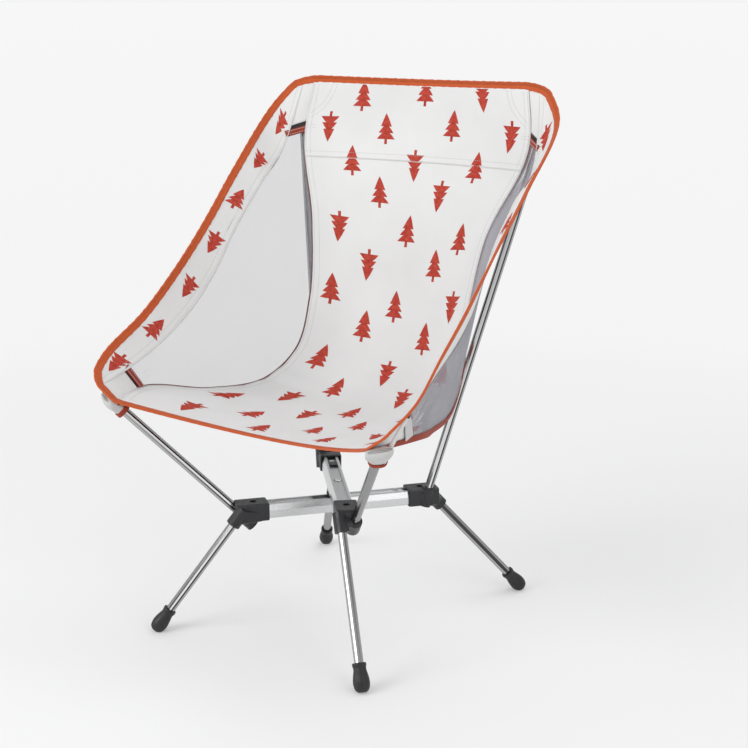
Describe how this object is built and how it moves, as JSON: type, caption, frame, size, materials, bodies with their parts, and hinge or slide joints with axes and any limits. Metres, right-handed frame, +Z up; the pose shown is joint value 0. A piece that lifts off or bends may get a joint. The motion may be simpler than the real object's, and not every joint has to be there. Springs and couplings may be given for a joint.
{
  "type": "folding camping chair",
  "caption": "Ultralight backpacking chair: a fabric bucket sling on a shock-corded pole frame with two crossed bars on a centre pivot.",
  "frame": {"origin": "on the floor, on the vertical axis of the centre pivot", "axes": "+Z up; the chair faces -Y; +X is the chair's right-hand side in a front view"},
  "size_m": [0.4464, 0.4141, 0.667],
  "materials": {
    "aluminium": "polished, anodised",
    "black_nylon": "satin moulded",
    "foot_rubber": "matte",
    "shock_cord": "braided",
    "printed_cloth": "plain weave with a small rust-red print",
    "side_mesh": "fine open mesh",
    "orange_binding": "woven tape"
  },
  "bodies": {
    "lower_frame": {"back_pole_cord_right": "shock_cord", "back_pole_ferrule_right": "aluminium", "back_pole_lower_right": "aluminium", "back_pole_tip_right": "black_nylon", "back_pole_upper_right": "aluminium", "centre_panel": "printed_cloth", "channel_stop_lower": "black_nylon", "corner_patch_front_left": "printed_cloth", "corner_patch_front_right": "printed_cloth", "corner_patch_rear_left": "printed_cloth", "corner_patch_rear_right": "printed_cloth", "corner_pocket_front_left": "printed_cloth", "corner_pocket_rear_right": "printed_cloth", "cross_bar_lower": "aluminium", "edge_binding": "orange_binding", "front_pole_cord_left": "shock_cord", "front_pole_left": "aluminium", "front_pole_tip_left": "black_nylon", "hub_front_left": "black_nylon", "hub_rear_right": "black_nylon", "pivot_rivet": "aluminium", "pivot_spacer": "black_nylon", "rim_band_left": "printed_cloth", "rim_band_right": "printed_cloth", "rivet_front_left": "aluminium", "rivet_rear_right": "aluminium", "side_mesh_left": "side_mesh", "side_mesh_right": "side_mesh", "yoke_panel": "printed_cloth"},
    "upper_frame": {"back_pole_cord_left": "shock_cord", "back_pole_ferrule_left": "aluminium", "back_pole_lower_left": "aluminium", "back_pole_tip_left": "black_nylon", "back_pole_upper_left": "aluminium", "channel_stop_upper": "black_nylon", "corner_pocket_front_right": "printed_cloth", "corner_pocket_rear_left": "printed_cloth", "cross_bar_upper": "aluminium", "front_pole_cord_right": "shock_cord", "front_pole_right": "aluminium", "front_pole_tip_right": "black_nylon", "hub_front_right": "black_nylon", "hub_rear_left": "black_nylon", "rivet_front_right": "aluminium", "rivet_rear_left": "aluminium"},
    "leg_front_left": {"foot_front_left": "foot_rubber", "leg_cord_front_left": "shock_cord", "leg_tube_front_left": "aluminium"},
    "leg_front_right": {"foot_front_right": "foot_rubber", "leg_cord_front_right": "shock_cord", "leg_tube_front_right": "aluminium"},
    "leg_rear_left": {"foot_rear_left": "foot_rubber", "leg_cord_rear_left": "shock_cord", "leg_tube_rear_left": "aluminium"},
    "leg_rear_right": {"foot_rear_right": "foot_rubber", "leg_cord_rear_right": "shock_cord", "leg_tube_rear_right": "aluminium"}
  },
  "joints": [
    {"name": "frame_fold", "type": "hinge", "parent": "lower_frame", "child": "upper_frame", "pos_m": [0, 0, 0.1605], "axis": [0, 0, -1], "range_deg": [0, 40], "deforming": ["centre_panel", "corner_patch_front_left", "corner_patch_front_right", "corner_patch_rear_left", "corner_patch_rear_right", "edge_binding", "rim_band_left", "rim_band_right", "side_mesh_left", "side_mesh_right", "yoke_panel"]},
    {"name": "leg_pull_front_left", "type": "slide", "parent": "lower_frame", "child": "leg_front_left", "axis": [-0.4447, -0.4025, -0.8002], "range_m": [0, 0.035], "stiffness_N_per_m": 120, "springref_m": -0.02},
    {"name": "leg_pull_front_right", "type": "slide", "parent": "upper_frame", "child": "leg_front_right", "axis": [0.3966, -0.359, -0.8449], "range_m": [0, 0.035], "stiffness_N_per_m": 120, "springref_m": -0.02},
    {"name": "leg_pull_rear_left", "type": "slide", "parent": "upper_frame", "child": "leg_rear_left", "axis": [-0.3956, 0.459, -0.7955], "range_m": [0, 0.035], "stiffness_N_per_m": 120, "springref_m": -0.02},
    {"name": "leg_pull_rear_right", "type": "slide", "parent": "lower_frame", "child": "leg_rear_right", "axis": [0.4388, 0.509, -0.7405], "range_m": [0, 0.035], "stiffness_N_per_m": 120, "springref_m": -0.02}
  ]
}
